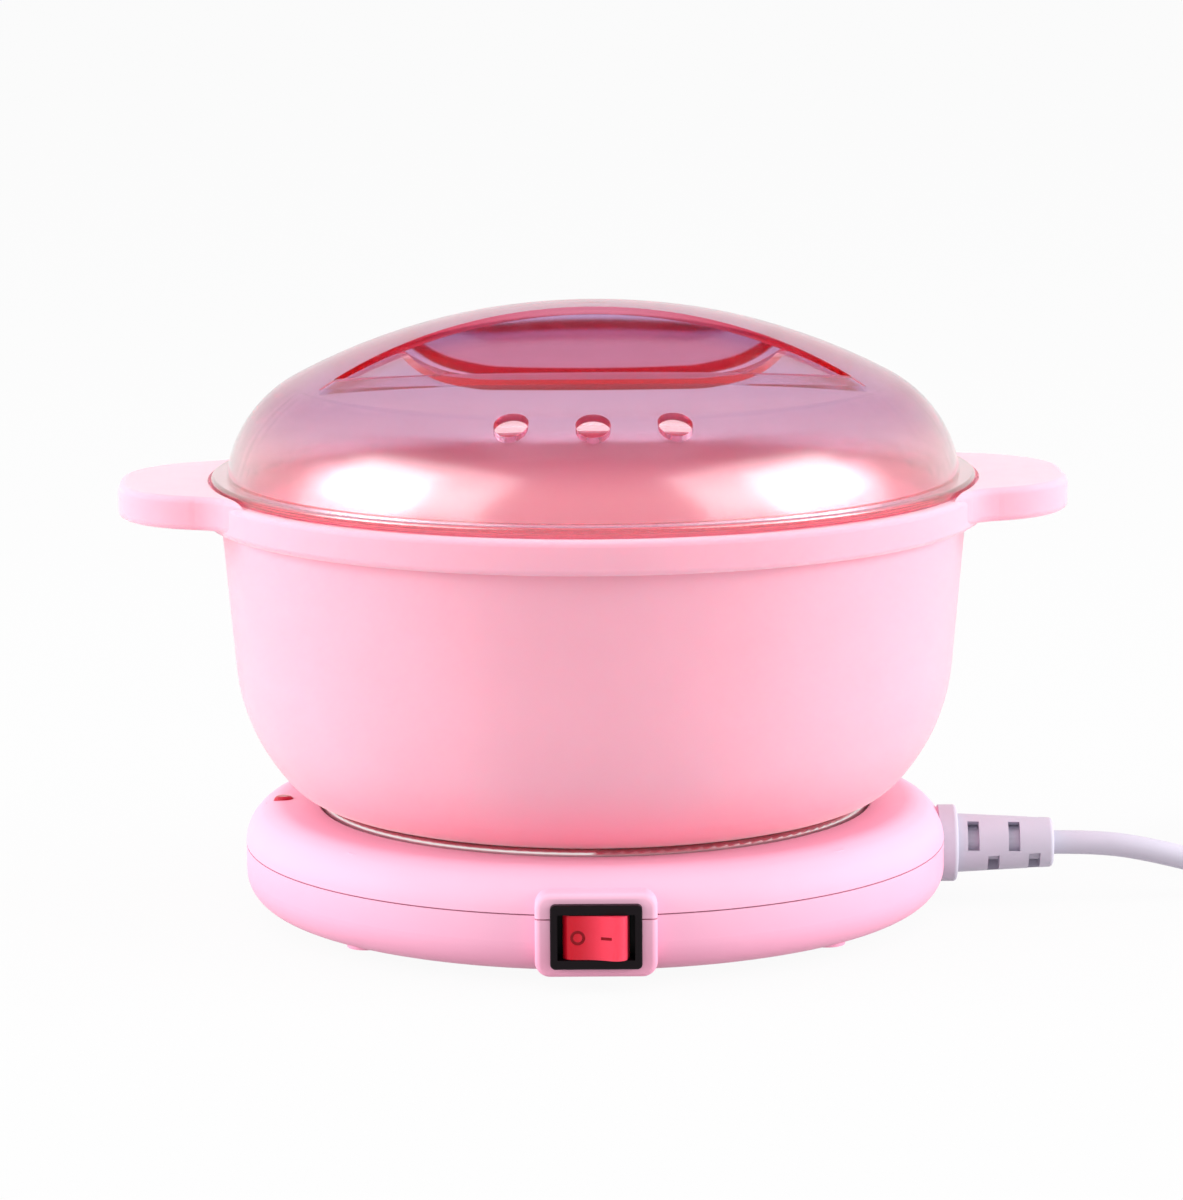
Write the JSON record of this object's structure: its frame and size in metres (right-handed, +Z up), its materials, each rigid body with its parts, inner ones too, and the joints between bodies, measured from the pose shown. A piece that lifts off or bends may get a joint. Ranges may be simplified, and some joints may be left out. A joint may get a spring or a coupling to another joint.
{
  "type": "wax warmer",
  "caption": "Round heated base with a rocker switch and mains cord, carrying a lift-out bowl-shaped pot with ear handles under a see-through domed lid with a grip bar.",
  "frame": {"origin": "on the table under the pot's axis, at the underside of the rubber feet", "axes": "+Z up along the pot's axis, -Y towards the switch, +X towards the cord"},
  "size_m": [0.4354, 0.189, 0.1477],
  "materials": {
    "base_shell": "pink moulded plastic, smooth",
    "foot_rubber": "matt grey rubber",
    "screw_steel": "zinc plated",
    "plate_aluminium": "polished edge",
    "gasket_silicone": "soft silicone",
    "element_face": "mica and ceramic face",
    "pad_fibre": "pressed heat-proof fibre",
    "clamp_steel": "plated sheet",
    "brass": "plain",
    "thermostat_can": "black phenolic",
    "fuse_case": "plain tube",
    "switch_black": "near black",
    "rocker_red": "red, slightly see-through",
    "lens_red": "red lens",
    "lamp_glass": "clear",
    "block_plastic": "natural nylon",
    "cord_sheath": "soft pale lavender-grey",
    "tie_plastic": "white band",
    "lead_live": "brown insulation",
    "lead_neutral": "blue insulation",
    "pot_silicone": "satin pink silicone",
    "lid_clear": "see-through pink"
  },
  "bodies": {
    "base": {"base_top_cover": "base_shell", "base_bottom_cover": "base_shell", "rubber_feet": "foot_rubber", "housing_screws": "screw_steel", "clamp_screws": "screw_steel", "thermostat_screws": "screw_steel", "terminal_screws": "screw_steel", "cord_clamp_screws": "screw_steel", "heating_plate": "plate_aluminium", "plate_gasket": "gasket_silicone", "heating_element": "element_face", "insulation_pad": "pad_fibre", "element_clamp": "clamp_steel", "thermostat_bracket": "clamp_steel", "fuse_clip": "clamp_steel", "element_terminals": "brass", "thermostat_terminals": "brass", "switch_terminals": "brass", "plug_pins": "brass", "thermostat": "thermostat_can", "thermal_fuse": "fuse_case", "switch_body": "switch_black", "indicator_lens": "lens_red", "indicator_lamp": "lamp_glass", "terminal_block": "block_plastic", "cord_clamp": "block_plastic", "strain_relief": "cord_sheath", "cord_inner": "cord_sheath", "cord_lead": "cord_sheath", "cord_coil": "cord_sheath", "cord_tail": "cord_sheath", "mains_plug": "cord_sheath", "coil_tie": "tie_plastic", "live_lead": "lead_live", "switched_lead": "lead_live", "fuse_lead": "lead_live", "heater_lead": "lead_live", "lamp_lead_2": "lead_live", "neutral_lead": "lead_neutral", "supply_neutral_lead": "lead_neutral", "lamp_lead_1": "lead_neutral"},
    "pot": {"pot": "pot_silicone"},
    "lid": {"lid": "lid_clear"},
    "rocker": {"rocker": "rocker_red", "contact_arm": "brass"}
  },
  "joints": [
    {"name": "pot_lift", "type": "slide", "parent": "base", "child": "pot", "axis": [0, 0, 1], "range_m": [0, 0.15]},
    {"name": "lid_lift", "type": "slide", "parent": "pot", "child": "lid", "axis": [0, 0, 1], "range_m": [0, 0.12]},
    {"name": "rocker_tilt", "type": "hinge", "parent": "base", "child": "rocker", "pos_m": [0, -0.0878, 0.0126], "axis": [0, 0, 1], "range_deg": [0, 20]}
  ]
}
